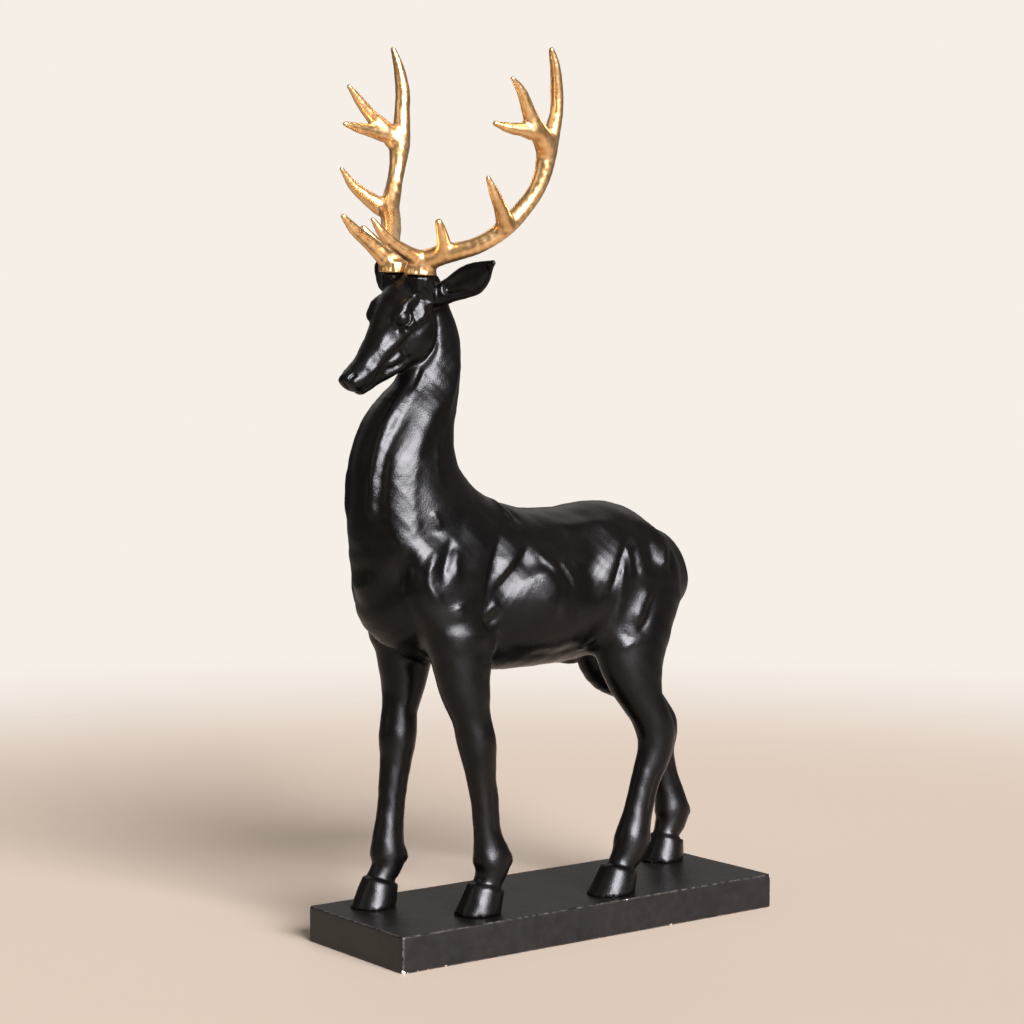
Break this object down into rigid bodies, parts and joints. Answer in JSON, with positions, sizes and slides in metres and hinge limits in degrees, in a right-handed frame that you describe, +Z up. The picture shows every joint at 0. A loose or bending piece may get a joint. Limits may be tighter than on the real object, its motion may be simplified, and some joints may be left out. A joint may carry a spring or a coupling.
{
  "type": "reindeer figurine",
  "caption": "Standing antlered deer figurine on a rectangular plinth, satin black with gilt antlers, for display on a table or shelf.",
  "frame": {"origin": "middle of the plinth's underside, on the surface that the figurine stands on", "axes": "+Z up; the stag faces -X along the plinth's length, and its left side is -Y"},
  "size_m": [0.3092, 0.1582, 0.5653],
  "materials": {
    "body_black": "satin black paint over cast polyresin",
    "plinth_black": "matt to satin black paint over cast polyresin, with small chips along the lower edges",
    "antler_gold": "satin gilt over cast polyresin"
  },
  "bodies": {
    "root": {"plinth": "plinth_black", "stag": "body_black", "antler_left": "antler_gold", "antler_right": "antler_gold"}
  },
  "joints": []
}
